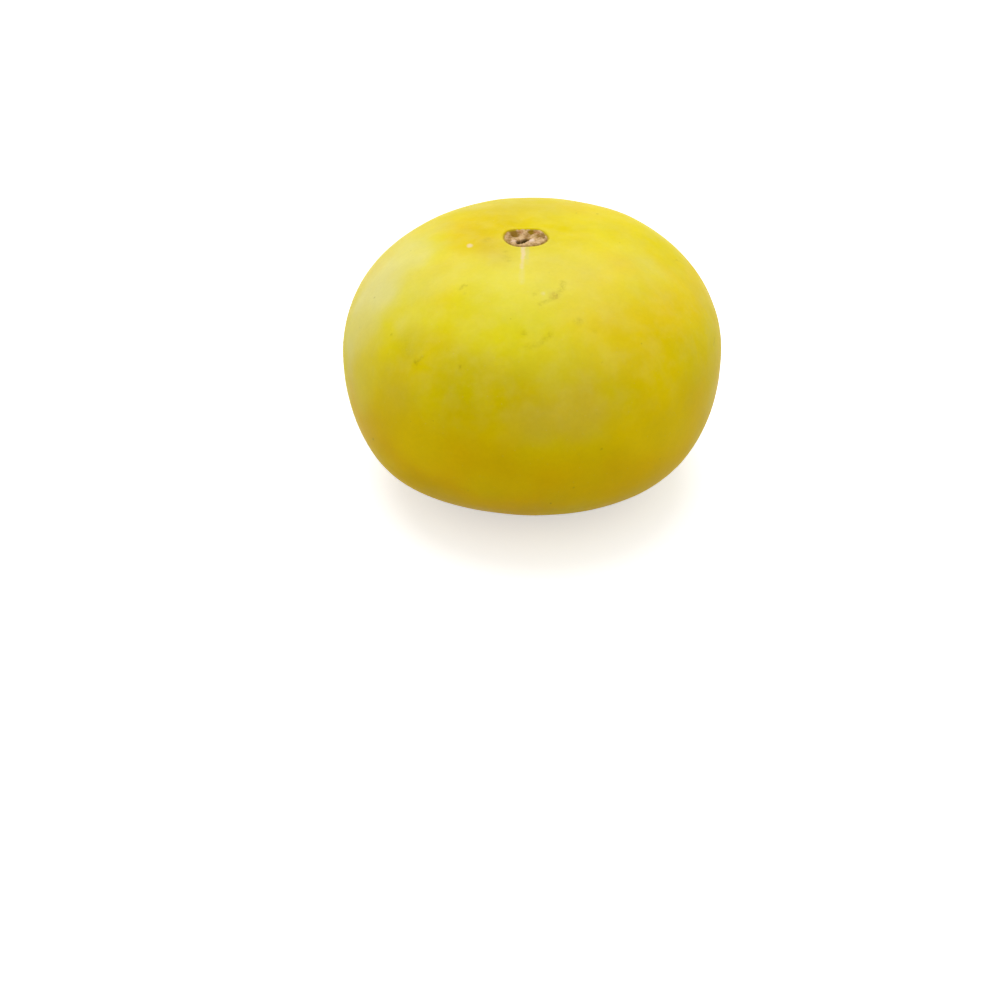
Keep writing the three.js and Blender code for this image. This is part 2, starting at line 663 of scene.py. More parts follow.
class RindTone(Enum):
    """The broad tones that drift over the rind. The value names the tone's vertex mask."""

    WARM = "tone_warm"
    LEMON = "tone_lemon"
    DEEP = "tone_deep"
    OLIVE = "tone_olive"
    GREY = "tone_grey"
    # Cream is partly the rind's own pale tone and partly painted sheen and reflection of the lamp and the
    # white surround.
    CREAM_AND_SHEEN = "tone_cream_and_sheen"
    # Gold is partly the rind's own tone and partly painted light bounced up from below onto the lower
    # flanks.
    GOLD = "tone_gold_and_bounce"


@dataclass(frozen=True)
class TonePatch:
    """A soft patch of one tone. Half sizes are in mm, and the turn tips its long side, in degrees.

    It is whole out to the core and gone at the fade, both in half sizes. Depth keeps it off the rind
    on the other side, in half sizes too, and wander is how far noise moves its edge.
    """

    tone: RindTone
    place: RindPlace
    half_across: float
    half_down: float
    strength: float
    turn: float = 0.0
    wander: float = 0.3
    core: float = 0.2
    fade: float = 1.2
    depth: float = 1.3

    def share(self, away: np.ndarray, facing: np.ndarray, noise_there: np.ndarray) -> np.ndarray:
        """How much of the patch is at each vertex, from 0 to 1.

        Args:
            away: Each vertex's way from the middle of the patch, in mm.
            facing: The rind's outward direction at that middle.
            noise_there: The noise at each vertex.

        Returns:
            The share for each vertex.
        """
        around = self.place.around
        beside = np.array([-math.sin(around), math.cos(around), 0.0])
        along = np.cross(facing, beside)
        turn = math.radians(self.turn)
        across = away @ (beside * math.cos(turn) + along * math.sin(turn))
        lengthwise = away @ (along * math.cos(turn) - beside * math.sin(turn))
        deep = away @ facing / (self.depth * max(self.half_across, self.half_down))
        reach = np.sqrt((across / self.half_across) ** 2 + (lengthwise / self.half_down) ** 2 + deep**2)
        return 1 - smoothstep(reach + self.wander * noise_there, self.core, self.fade)


def patch(tone: RindTone, bearing: float, down: float, *look: float) -> TonePatch:
    """A patch at a bearing and mm down. Look is its half sizes, strength, turn and wander."""
    return TonePatch(tone, RindPlace(bearing, down), *look)


PATCHES = (
    # Cream patches are partly painted sheen and reflection of the lamp and the white surround, strongest on
    # the upper left and the upper front.
    patch(RindTone.CREAM_AND_SHEEN, -84, 60, 18, 19, 0.7, 10.0, 0.45),
    patch(RindTone.CREAM_AND_SHEEN, -73, 78, 15, 23, 0.5, 4.0, 0.45),
    patch(RindTone.CREAM_AND_SHEEN, -62, 47, 26, 20, 0.26),
    patch(RindTone.CREAM_AND_SHEEN, -100, 66, 38, 34, 0.3, -12.0, 0.55),
    patch(RindTone.LEMON, -80, 46, 26, 18, 0.55),
    patch(RindTone.CREAM_AND_SHEEN, -60, 94, 16, 20, 0.19),
    patch(RindTone.CREAM_AND_SHEEN, -61, 80, 9, 8, 0.12),
    patch(RindTone.CREAM_AND_SHEEN, 14, 28, 54, 31, 0.25),
    patch(RindTone.CREAM_AND_SHEEN, 12, 66, 36, 13, 0.07),
    patch(RindTone.CREAM_AND_SHEEN, 175, 25, 46, 15, 0.08),
    patch(RindTone.WARM, -122, 21, 26, 22, 0.28),
    patch(RindTone.OLIVE, -165, 35, 56, 22, 0.34),
    patch(RindTone.OLIVE, -30, 5, 38, 24, 0.2, 0.0, 0.15),
    patch(RindTone.DEEP, -58, 16, 11, 8, 0.26, 20.0, 0.2),
    patch(RindTone.DEEP, -82, 24, 17, 11, 0.14),
    patch(RindTone.DEEP, -36, 21, 10, 8, 0.2, 0.0, 0.2),
    patch(RindTone.WARM, 39, 63, 30, 22, 0.26),
    patch(RindTone.WARM, 60, 82, 24, 34, 0.12),
    patch(RindTone.WARM, -42, 118, 24, 18, 0.36),
    patch(RindTone.WARM, 38, 122, 26, 20, 0.42),
    patch(RindTone.LEMON, -20, 45, 36, 28, 0.6),
    patch(RindTone.LEMON, -56, 62, 24, 20, 0.5),
    patch(RindTone.LEMON, 4, 60, 24, 18, 0.3),
    patch(RindTone.LEMON, -14, 84, 12, 40, 0.22),
    patch(RindTone.LEMON, -78, 104, 15, 25, 0.36),
    patch(RindTone.LEMON, -58, 96, 12, 20, 0.4),
    patch(RindTone.LEMON, -9, 118, 17, 10, 0.2),
    patch(RindTone.DEEP, -32, 73, 22, 13, 0.14),
    patch(RindTone.OLIVE, -16, 76, 20, 15, 0.34),
    patch(RindTone.OLIVE, 4, 73, 26, 14, 0.3),
    patch(RindTone.OLIVE, -44, 72, 9, 9, 0.25),
    patch(RindTone.GREY, -42, 91, 13, 14, 0.26),
    patch(RindTone.GREY, 9, 87, 22, 13, 0.44, 8.0, 0.45),
    # These gold patches on the lower front flanks are partly painted light bounced up from below.
    patch(RindTone.GOLD, 41, 100, 26, 23, 0.8),
    patch(RindTone.GOLD, -34, 106, 22, 14, 0.65),
    patch(RindTone.GOLD, -57, 94, 12, 20, 0.3),
    patch(RindTone.DEEP, -15, 102, 20, 16, 0.15),
    patch(RindTone.DEEP, -17, 90, 14, 8, 0.18),
    patch(RindTone.DEEP, -34, 129, 18, 9, 0.22),
    patch(RindTone.LEMON, 165, 70, 40, 34, 0.35),
    patch(RindTone.WARM, 120, 92, 34, 26, 0.35),
    patch(RindTone.DEEP, -168, 104, 36, 22, 0.25),
    patch(RindTone.LEMON, -118, 100, 30, 34, 0.3),
    patch(RindTone.LEMON, 160, 144, 50, 38, 0.6, 10.0, 0.3),
    patch(RindTone.CREAM_AND_SHEEN, 165, 148, 38, 27, 0.26, 30.0, 0.4),
)


@dataclass(frozen=True)
class Swelling:
    """A soft swelling of the rind, or a dent where the rise is negative. Sizes are in mm."""

    place: RindPlace
    rise: float
    reach: float

    def height(self, site: Site, middle: np.ndarray) -> np.ndarray:
        """The rise at each vertex, in mm, with the swelling's middle at this point."""
        away = np.linalg.norm(site.plain - middle, axis=1)
        return self.rise * bell(away, 0.0, self.reach)


@dataclass(frozen=True)
class RindRelief:
    """The slow relief of the rind, in mm. A pair of lengths is where a change starts and ends."""

    swellings: tuple[Swelling, ...] = (
        Swelling(RindPlace(128, 44), 1.5, 20.0),
        Swelling(RindPlace(86, 62), -1.1, 15.0),
        Swelling(RindPlace(-48, 124), 1.4, 18.0),
    )
    swell_size: float = 36.0
    swell_height: float = 0.4
    ripple_size: float = 9.0
    ripple_height: float = 0.05
    scar_calm: tuple[float, float] = (6.0, 16.0)
    foot_calm: tuple[float, float] = (0.4, 7.0)
    pleat_count: int = 9
    pleat_sway: float = 0.9
    broad_pleat_count: int = 5
    broad_pleat_share: float = 0.5
    pleat_height: float = 0.16
    pleat_rise: tuple[float, float] = (11.0, 16.0)
    pleat_fade: tuple[float, float] = (17.0, 34.0)

    def height(self, site: Site, foot_height: np.ndarray, middles: list[np.ndarray]) -> np.ndarray:
        """The height above the plain rind, in mm.

        Args:
            site: Where the vertices lie.
            foot_height: Their height above the foot.
            middles: The middle point of each swelling.

        Returns:
            The relief, which fades out towards the foot so that the fruit stands flat.
        """
        swell = self.swell_height * Noise.SWELL.over(site.plain, self.swell_size)
        ripple = self.ripple_height * Noise.RIPPLE.over(site.plain, self.ripple_size)
        calm = smoothstep(foot_height, *self.foot_calm)
        scar_calm = smoothstep(site.down, *self.scar_calm)
        height = calm * (swell * scar_calm + ripple * scar_calm + self._pleats(site))
        for swelling, middle in zip(self.swellings, middles):
            height += calm * swelling.height(site, middle)
        return height

    def _pleats(self, site: Site) -> np.ndarray:
        """The soft pleats that run out from the stem scar, in mm."""
        folds = np.cos(self.pleat_count * site.around + self.pleat_sway * np.sin(2 * site.around + 1))
        folds = folds + self.broad_pleat_share * np.cos(self.broad_pleat_count * site.around)
        reach = smoothstep(site.down, *self.pleat_rise) * (1 - smoothstep(site.down, *self.pleat_fade))
        return self.pleat_height * folds * reach


Socket = bpy.types.NodeSocket
Value = float | Socket
Triple = tuple[float, float, float]
Rgba = tuple[float, float, float, float]
Colour = Socket | Rgba


class MarkTone(Enum):
    """The looks that a small mark may take."""

    OLIVE = ("8f7f12", 0.56, 0.75)
    BROWN = ("86591a", 0.62, 0.75)
    GREY = ("b8983e", 0.62, 0.6)
    SAGE = ("d8cf7c", 0.6, 0.1)
    PINK = ("f1d8ae", 0.6, 0.1)
    PALE = ("eadf9a", 0.55, 0.2)

    def __init__(self, code: str, roughness: float, broken: float) -> None:
        """Names the look's parts: colour code, how rough it leaves the rind, and how broken up it is."""
        self.code = code
        self.roughness = roughness
        self.broken = broken


@dataclass(frozen=True)
class Grain:
    """Noise in a material: its largest swells in mm, and how many finer layers it has and how strong."""

    size: float
    detail: float = 2.0
    rough: float = 0.5


@dataclass(frozen=True)
class Cloud:
    """Grain that is eased, from start where it is at the low level to end where it is at the high one."""

    grain: Grain
    low: float
    high: float
    start: float
    end: float


@dataclass(frozen=True)
class Waver:
    """A random shift of places: the size of its swells and its reach, in mm."""

    size: float
    reach: float
    detail: float = 2.0


@dataclass(frozen=True)
class Specks:
    """Scattered round specks of one tone. Spacing and largest radius are in mm.

    Share is the share of the cells that hold a speck. The soft edge and the smallest speck are shares
    of the largest radius.
    """

    tone: MarkTone
    spacing: float
    radius: float
    share: float
    strength: float
    soft: float = 0.5
    smallest: float = 0.45


def linear(code: str) -> Rgba:
    """The linear colour for a six-digit sRGB code."""
    parts = [int(code[i : i + 2], 16) / 255 for i in (0, 2, 4)]
    r, g, b = (c / 12.92 if c <= 0.04045 else ((c + 0.055) / 1.055) ** 2.4 for c in parts)
    return r, g, b, 1.0


class NodeBench:
    """Makes and links the nodes of one material or world."""

    def __init__(self, tree: bpy.types.NodeTree) -> None:
        """Clears the tree to start from nothing."""
        tree.nodes.clear()
        self.tree = tree

    def add(self, kind: str, **settings: object) -> bpy.types.Node:
        """Makes a node of this kind, with these settings."""
        node = self.tree.nodes.new(kind)
        for name, value in settings.items():
            setattr(node, name, value)
        return node

    def feed(self, target: Socket, value: Value | Triple | Colour) -> None:
        """Links the value to the socket if it is one, and sets it there if not."""
        if isinstance(value, Socket):
            self.tree.links.new(value, target)
        else:
            target.default_value = value

    def math(self, operation: str, first: Value, second: Value = 0.0, clamp: bool = False) -> Socket:
        """The result of a Math node."""
        node = self.add("ShaderNodeMath", operation=operation, use_clamp=clamp)
        self.feed(node.inputs[0], first)
        self.feed(node.inputs[1], second)
        return node.outputs[0]

    def vector(self, operation: str, first: Value | Triple, second: Value | Triple = (0, 0, 0)) -> Socket:
        """The result of a Vector Math node, which is a number for a dot product or a distance."""
        node = self.add("ShaderNodeVectorMath", operation=operation)
        self.feed(node.inputs[0], first)
        self.feed(node.inputs[1], second)
        return node.outputs[1 if operation in ("DOT_PRODUCT", "DISTANCE") else 0]

    def scaled(self, first: Socket | Triple, scale: Value) -> Socket:
        """A vector times a number."""
        node = self.add("ShaderNodeVectorMath", operation="SCALE")
        self.feed(node.inputs[0], first)
        self.feed(node.inputs["Scale"], scale)
        return node.outputs[0]

    def eased(self, value: Value, low: Value, high: Value, start: Value = 0.0, end: Value = 1.0) -> Socket:
        """Eases from start at low to end at high."""
        node = self.add("ShaderNodeMapRange", interpolation_type="SMOOTHSTEP")
        for socket, fed in zip(node.inputs, (value, low, high, start, end)):
            self.feed(socket, fed)
        return node.outputs[0]

    def mix(self, share: Value, first: Colour, second: Colour) -> Socket:
        """Two colours mixed, by the share of the second."""
        node = self.add("ShaderNodeMix", data_type="RGBA")
        self.feed(node.inputs[0], share)
        self.feed(node.inputs[6], first)
        self.feed(node.inputs[7], second)
        return node.outputs[2]

    def split(self, where: Socket, axis: int) -> Socket:
        """One of the three parts of a vector."""
        node = self.add("ShaderNodeSeparateXYZ")
        self.feed(node.inputs[0], where)
        return node.outputs[axis]

    def washed(self, colour: Colour, code: str, share: Value, strength: Value) -> Socket:
        """The colour with another laid over it, by its code, to the share times the strength."""
        return self.mix(self.math("MULTIPLY", share, strength), colour, linear(code))

    def noise(self, where: Socket, grain: Grain) -> Socket:
        """Noise from 0 to 1."""
        node = self.add("ShaderNodeTexNoise")
        self.feed(node.inputs["Vector"], where)
        node.inputs["Scale"].default_value = 1 / (grain.size * MM)
        node.inputs["Detail"].default_value = grain.detail
        node.inputs["Roughness"].default_value = grain.rough
        return node.outputs["Fac"]

    def cloud(self, where: Socket, cloud: Cloud) -> Socket:
        """Noise eased between the cloud's start and end."""
        return self.eased(self.noise(where, cloud.grain), cloud.low, cloud.high, cloud.start, cloud.end)

    def relief(self, where: Socket, grain: Grain, height: float) -> Socket:
        """Noise as a height in metres, up to this many mm."""
        return self.math("MULTIPLY", self.noise(where, grain), height * MM)

    def wavered(self, where: Socket, waver: Waver) -> Socket:
        """The same places, each moved at random by about the waver's reach."""
        node = self.add("ShaderNodeTexNoise")
        self.feed(node.inputs["Vector"], where)
        node.inputs["Scale"].default_value = 1 / (waver.size * MM)
        node.inputs["Detail"].default_value = waver.detail
        centred = self.vector("SUBTRACT", node.outputs["Color"], (0.5, 0.5, 0.5))
        return self.vector("ADD", where, self.scaled(centred, 2 * waver.reach * MM))

    def specks(self, where: Socket, specks: Specks) -> Socket:
        """A mask of the specks, from 0 to 1."""
        largest = specks.radius / specks.spacing
        node = self.add("ShaderNodeTexVoronoi")
        self.feed(node.inputs["Vector"], where)
        node.inputs["Scale"].default_value = 1 / (specks.spacing * MM)
        chance = self.add("ShaderNodeSeparateColor")
        self.feed(chance.inputs[0], node.outputs["Color"])
        reach = self.eased(chance.outputs[1], 0.0, 1.0, specks.smallest * largest, largest)
        near = self.math("SUBTRACT", reach, node.outputs["Distance"])
        mask = self.eased(near, 0.0, specks.soft * largest)
        return self.math("MULTIPLY", mask, self.math("LESS_THAN", chance.outputs[0], specks.share))

    def mask(self, name: str) -> Socket:
        """The vertex mask of this name."""
        return self.add("ShaderNodeAttribute", attribute_name=name).outputs["Fac"]

    def away(self, where: Socket, start: Vector, end: Vector) -> Socket:
        """How far the places are from a line.

        Args:
            where: The places.
            start: One end of the line.
            end: Its other end, which is the same point for a dot.

        Returns:
            The distance, in metres.
        """
        nearest: Socket | Triple = tuple(start)
        if start != end:
            span = end - start
            slope = span / span.length_squared
            along = self.vector("DOT_PRODUCT", where, tuple(slope))
            share = self.math("SUBTRACT", along, slope.dot(start), clamp=True)
            nearest = self.vector("ADD", self.scaled(tuple(span), share), tuple(start))
        return self.vector("DISTANCE", where, nearest)


@dataclass(frozen=True)
class Mark:
    """A small stroke or dot on the rind, between two places. Radius and soft edge are in mm."""

    tone: MarkTone
    start: RindPlace
    end: RindPlace
    radius: float
    soft: float
    strength: float


def stroke(tone: MarkTone, start: tuple[float, float], end: tuple[float, float], *size: float) -> Mark:
    """A mark between two places, each given as bearing and mm down. Size is radius, soft and strength."""
    return Mark(tone, RindPlace(*start), RindPlace(*end), *size)


def dot(tone: MarkTone, bearing: float, down: float, *size: float) -> Mark:
    """A round mark at one place. Size is radius, soft and strength."""
    return stroke(tone, (bearing, down), (bearing, down), *size)


SCAR_LINE = (
    stroke(MarkTone.PINK, (-7, 7.5), (-4.4, 17), 0.85, 0.45, 0.72),
    stroke(MarkTone.PINK, (-4.4, 17), (-4.2, 24), 0.65, 0.6, 0.55),
    stroke(MarkTone.SAGE, (5, 7.5), (1.2, 17), 0.75, 0.6, 0.6),
    stroke(MarkTone.SAGE, (1.2, 17), (0.2, 21), 0.5, 0.8, 0.3),
    stroke(MarkTone.PALE, (-4, 24), (-4.5, 33), 0.8, 0.9, 0.3),
)
FRONT_SCUFFS = (
    stroke(MarkTone.OLIVE, (22, 34.5), (19.5, 37.5), 0.9, 1.1, 0.3),
    stroke(MarkTone.OLIVE, (19, 37.5), (15, 40), 0.7, 1.0, 0.26),
    dot(MarkTone.GREY, 13.5, 40.5, 1.7, 1.5, 0.51),
    stroke(MarkTone.OLIVE, (13, 41.5), (5, 44), 0.6, 1.0, 0.22),
    dot(MarkTone.PALE, 7.5, 39, 0.7, 0.6, 0.6),
    dot(MarkTone.OLIVE, 3, 39.2, 0.7, 0.9, 0.23),
    dot(MarkTone.OLIVE, 19.5, 52.9, 1.3, 1.4, 0.29),
    dot(MarkTone.OLIVE, -3, 56.6, 1.1, 1.2, 0.26),
    stroke(MarkTone.OLIVE, (-2, 62), (2, 61), 0.7, 1.2, 0.19),
    stroke(MarkTone.OLIVE, (3, 60.5), (7, 57), 0.6, 1.1, 0.22),
    dot(MarkTone.OLIVE, 24, 58, 0.8, 1.0, 0.16),
)
LEFT_MARKS = (
    dot(MarkTone.PINK, -71, 23.5, 1.15, 0.6, 0.85),
    stroke(MarkTone.OLIVE, (-81, 15), (-76, 16.5), 1.1, 1.4, 0.19),
    dot(MarkTone.OLIVE, -33, 14.5, 0.8, 0.9, 0.22),
    dot(MarkTone.OLIVE, -24, 18, 1.4, 1.8, 0.14),
    dot(MarkTone.OLIVE, -19.5, 20, 0.8, 0.9, 0.2),
    stroke(MarkTone.OLIVE, (-36, 40.8), (-37.8, 41), 0.5, 0.7, 0.3),
    stroke(MarkTone.OLIVE, (-37.8, 41), (-38, 43), 0.6, 0.7, 0.32),
    dot(MarkTone.OLIVE, -33.8, 44.4, 0.55, 0.6, 0.29),
    dot(MarkTone.OLIVE, -38.4, 76.4, 1.0, 0.9, 0.36),
    stroke(MarkTone.OLIVE, (-38, 75.8), (-37, 74), 0.6, 0.9, 0.2),
    dot(MarkTone.OLIVE, -23.2, 72.7, 0.7, 0.7, 0.32),
    dot(MarkTone.OLIVE, -53.2, 72.7, 0.6, 0.6, 0.29),
    stroke(MarkTone.OLIVE, (-46, 71), (-43, 74), 2.0, 2.6, 0.09),
)
FAR_MARKS = (
    stroke(MarkTone.BROWN, (146, 73), (152, 75), 0.7, 1.0, 0.3),
    stroke(MarkTone.BROWN, (149, 78), (150.5, 84), 0.5, 0.9, 0.26),
    dot(MarkTone.BROWN, 153, 91, 1.2, 1.3, 0.3),
    dot(MarkTone.BROWN, -141, 86, 2.2, 2.2, 0.36),
    dot(MarkTone.OLIVE, -146, 90, 0.9, 0.8, 0.29),
    stroke(MarkTone.OLIVE, (93, 58), (97, 61), 0.5, 0.6, 0.29),
    stroke(MarkTone.OLIVE, (97, 61), (98, 66), 0.4, 0.5, 0.25),
    dot(MarkTone.OLIVE, 104, 78, 0.9, 0.7, 0.32),
    dot(MarkTone.GREY, 118, 96, 1.5, 1.4, 0.34),
    stroke(MarkTone.OLIVE, (-108, 92), (-105, 93.5), 0.5, 0.5, 0.32),
    dot(MarkTone.OLIVE, -122, 70, 0.7, 0.5, 0.36),
    stroke(MarkTone.GREY, (-166, 52), (-160, 57), 0.9, 1.0, 0.34),
    stroke(MarkTone.OLIVE, (171, 98), (176, 99), 0.5, 0.6, 0.29),
    dot(MarkTone.OLIVE, 62, 118, 0.8, 0.7, 0.29),
    stroke(MarkTone.OLIVE, (72, 88), (75, 87), 0.4, 0.5, 0.25),
)
MARKS = SCAR_LINE + FRONT_SCUFFS + LEFT_MARKS + FAR_MARKS


@dataclass(frozen=True)
class RindFinish:
    """Satin, waxy rind: colour codes of its tones, its clouds and specks, and its finest relief.

    Heights above the floor and the heights of the relief are in mm. A pair of heights is where a
    change starts and where it is in full.
    """

    # The crest is yellower and the flank a deeper, more orange gold, eased between these heights: partly
    # the rind's own tone, partly painted warm light bounced up from below.
    crest: str = "e9d502"
    flank_gold_and_bounce: str = "e9c000"
    crest_heights: tuple[float, float] = (40.0, 80.0)
    tones: tuple[tuple[RindTone, str], ...] = (
        (RindTone.WARM, "eeba00"),
        (RindTone.LEMON, "e6de06"),
        (RindTone.DEEP, "cc9a00"),
        (RindTone.OLIVE, "c8b400"),
        (RindTone.GREY, "d8b444"),
        (RindTone.CREAM_AND_SHEEN, "ebe392"),
        (RindTone.GOLD, "f2d200"),
    )
    lemon_cloud: Cloud = Cloud(Grain(46.0), 0.45, 0.7, 0.0, 0.3)
    warm_cloud: Cloud = Cloud(Grain(46.0), 0.45, 0.7, 0.0, 0.35)
    warm_shift: Triple = (0.31, 0.17, 0.4)
    # Faint cream clouds towards the top: partly the rind's own pale tone, partly painted sheen of the
    # overhead lamp.
    pale_cloud_and_sheen: Cloud = Cloud(Grain(7.0, 3, 0.55), 0.35, 0.75, 0.0, 0.1)
    pale_cloud_and_sheen_heights: tuple[float, float] = (52.0, 84.0)
    mottle: Cloud = Cloud(Grain(17.0), 0.25, 0.75, 0.965, 1.03)
    fine_mottle: Cloud = Cloud(Grain(1.6, 3, 0.6), 0.25, 0.75, 0.98, 1.018)
    roughness: Cloud = Cloud(Grain(18.0, 3), 0.3, 0.7, 0.46, 0.53)
    freckles: Specks = Specks(MarkTone.OLIVE, 8.0, 0.85, 0.45, 0.5, 0.8)
    freckle_clusters: Cloud = Cloud(Grain(30.0), 0.42, 0.66, 0.1, 1.0)
    pricks: Specks = Specks(MarkTone.OLIVE, 4.5, 0.3, 0.35, 0.35)
    pores: Specks = Specks(MarkTone.PALE, 1.8, 0.22, 0.75, 0.3)
    mark_waver: Waver = Waver(3.0, 0.7, 3)
    mark_tear: Waver = Waver(0.9, 0.4)
    torn_from: float = 0.3
    mark_breaks: Grain = Grain(1.1, 4, 0.7)
    break_levels: tuple[float, float] = (0.4, 0.58)
    gloss: float = 0.07
    gloss_tint: Triple = (1.0, 0.85, 0.05)
    glow: float = 0.1
    glow_depth: float = 2.5
    glow_spread: Triple = (1.0, 0.7, 0.2)
    pore_relief: Grain = Grain(1.3, 3, 0.6)
    pore_height: float = 0.034
    peel_relief: Grain = Grain(4.2)
    peel_height: float = 0.06


@dataclass(frozen=True)
class CorkFinish:
    """Dry, corky scar tissue: its colour codes, how strongly some of them show, and its grain.

    The levels are where its colour turns from dark in the cracks to light on the ridges: partly the cork's
    own colour, partly painted shade in the cracks and painted light on the ridges.
    """

    dark: str = "a07c48"
    light: str = "dcb98a"
    edge: str = "94702a"
    blossom_ring: str = "b09a2c"
    tones: tuple[tuple[CorkTone, str], ...] = (
        (CorkTone.GOLD, "8f7216"),
        (CorkTone.OLIVE, "8a6824"),
        (CorkTone.RUST, "a06a38"),
        (CorkTone.PALE, "eaccb6"),
        (CorkTone.DARK, "48350f"),
    )
    edge_strength: float = 0.5
    ring_strength: float = 0.6
    eye_strength: float = 0.7
    grain: Grain = Grain(0.5, 4, 0.65)
    texture_share: float = 1.6
    levels: tuple[float, float] = (0.2, 0.75)
    relief: Grain = Grain(0.5, 4, 0.7)
    relief_height: float = 0.07
    roughness: float = 0.86


@dataclass(frozen=True)
class Fit:
    """Takes millimetres on the grown body to metres in the frame."""

    unit: float
    foot_mm: np.ndarray
    foot: np.ndarray

    @classmethod
    def to_box(cls, points: np.ndarray, low: Vector, high: Vector) -> "Fit":
        """Fits the plain body's width, middle and foot to the solid's box.

        Args:
            points: The plain body's points, in mm.
            low: The lowest corner of the solid's box, in metres.
            high: The highest corner.

        Returns:
            The fit.
        """
        least, most = points.min(0), points.max(0)
        foot_mm = np.array([*((least + most) / 2)[:2], least[2]])
        foot = np.array([(low.x + high.x) / 2, (low.y + high.y) / 2, low.z])
        return cls((high.x - low.x) / (most[0] - least[0]), foot_mm, foot)

    def placed(self, points: np.ndarray) -> np.ndarray:
        """The points in metres, in the frame."""
        return (points - self.foot_mm) * self.unit + self.foot


@dataclass(frozen=True)
class BakeMap:
    """The flat map of the rind: two large discs and a small one for each scar, in a unit square."""

    name: str = "OFBake"
    disc: float = 0.286
    disc_middle: float = 0.292
    cap: float = 0.195
    cap_middle: float = 0.8
    crown_cap: float = 14.0
    blossom_cap: float = 14.0

    def corners(self, mesh: RindMesh, vertices: np.ndarray, faces: np.ndarray) -> np.ndarray:
        """The place of every face corner.

        Args:
            mesh: The ring mesh.
            vertices: The vertex of each corner.
            faces: The face of each corner.

        Returns:
            One place a row, from 0 to 1.
        """
        site = mesh.site
        outline = mesh.outline
        length = outline.length
        girth = outline.girth_down()
        from_crown = outline.flat_radius(site.down)
        whole = float(outline.flat_radius(np.array([length]))[0])
        from_foot = np.sqrt((whole**2 - from_crown**2).clip(0))
        crown_reach = float(outline.flat_radius(np.array([girth]))[0])
        foot_reach = math.sqrt(whole**2 - crown_reach**2)
        crown_cap_reach = float(outline.flat_radius(np.array([self.crown_cap]))[0])
        low, high = self.disc_middle, 1 - self.disc_middle
        corner = 1 - self.cap_middle
        islands = (
            (from_crown / crown_cap_reach * self.cap, 1, (self.cap_middle, self.cap_middle)),
            (from_crown / crown_reach * self.disc, 1, (low, high)),
            (from_foot / foot_reach * self.disc, -1, (high, low)),
            (from_foot / self.blossom_cap * self.cap, -1, (corner, corner)),
        )
        ring_down = np.array([0.0, *(down for down, _ in mesh.rings), length])
        middle_down = (ring_down[1:] + ring_down[:-1])[np.array(mesh.bands)] / 2
        island = np.searchsorted([self.crown_cap, girth, length - self.blossom_cap], middle_down)
        chosen = island[faces]
        laid = np.zeros((len(vertices), 2))
        for number, (reach, turning, centre) in enumerate(islands):
            there = chosen == number
            at = vertices[there]
            angle = turning * site.around[at]
            laid[there, 0] = centre[0] + reach[at] * np.cos(angle)
            laid[there, 1] = centre[1] + reach[at] * np.sin(angle)
        return laid


